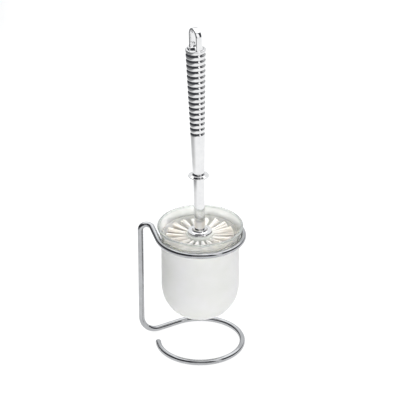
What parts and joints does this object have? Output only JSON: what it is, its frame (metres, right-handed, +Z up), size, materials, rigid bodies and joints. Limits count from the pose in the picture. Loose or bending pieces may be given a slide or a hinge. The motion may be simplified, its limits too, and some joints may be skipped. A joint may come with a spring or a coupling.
{
  "type": "toilet brush holder",
  "caption": "Free-standing toilet brush set: bent rod stand, flared etched glass cup hanging in its upper ring, and a tufted brush with ribbed grip and hanging loop.",
  "frame": {"origin": "on the floor, at the common axis of the base ring and the upper ring", "axes": "+Z up, -Y towards the front, -X towards the post of the stand"},
  "size_m": [0.1214, 0.1024, 0.391],
  "materials": {
    "chrome_rod": "bright chrome plating on bent steel rod",
    "chrome_handle": "bright chrome plating on cast and drawn handle parts",
    "etched_glass": "satin acid-etched soda-lime glass with a clearer polished rim",
    "white_plastic": "injection-moulded white polypropylene",
    "bristle": "white nylon monofilament, cut ends",
    "zinc_steel": "zinc-plated threaded steel",
    "anchor_brass": "plain brass anchor strip"
  },
  "bodies": {
    "stand": {"wire_stand": "chrome_rod"},
    "cup": {"glass_cup": "etched_glass"},
    "head": {"head_core": "white_plastic", "tuft_anchors": "anchor_brass", "tuft_row_1": "bristle", "tuft_row_2": "bristle", "tuft_row_3": "bristle", "tuft_row_4": "bristle", "tuft_row_5": "bristle", "tuft_row_6": "bristle", "tuft_row_7": "bristle", "tuft_row_8": "bristle", "tuft_row_9": "bristle", "end_tufts": "bristle"},
    "washer": {"seal_washer": "white_plastic"},
    "handle": {"end_cap": "chrome_handle", "grip": "chrome_handle", "joiner_stud": "zinc_steel", "mid_flange": "chrome_handle", "stem_tube": "chrome_handle", "upper_plug": "white_plastic", "lower_plug": "white_plastic", "head_stud": "zinc_steel", "lower_collar": "chrome_handle"}
  },
  "joints": [
    {"name": "cup_lift", "type": "slide", "parent": "stand", "child": "cup", "axis": [0, 0, 1], "range_m": [0, 0.115]},
    {"name": "brush_lift", "type": "slide", "parent": "cup", "child": "head", "axis": [-0.0208, 0, 0.9998], "range_m": [0, 0.125]},
    {"name": "handle_rise", "type": "slide", "parent": "head", "child": "washer", "axis": [-0.0208, 0, 0.9998], "range_m": [0, 0.0121]},
    {"name": "handle_unscrew", "type": "hinge", "parent": "washer", "child": "handle", "pos_m": [-0.0004, 0, 0.146], "axis": [-0.0208, 0, 0.9998], "range_deg": [0, 2880]}
  ],
  "couplings": [
    {"joint": "handle_rise", "follows": "handle_unscrew", "m_per_rad": 0.00023873}
  ]
}
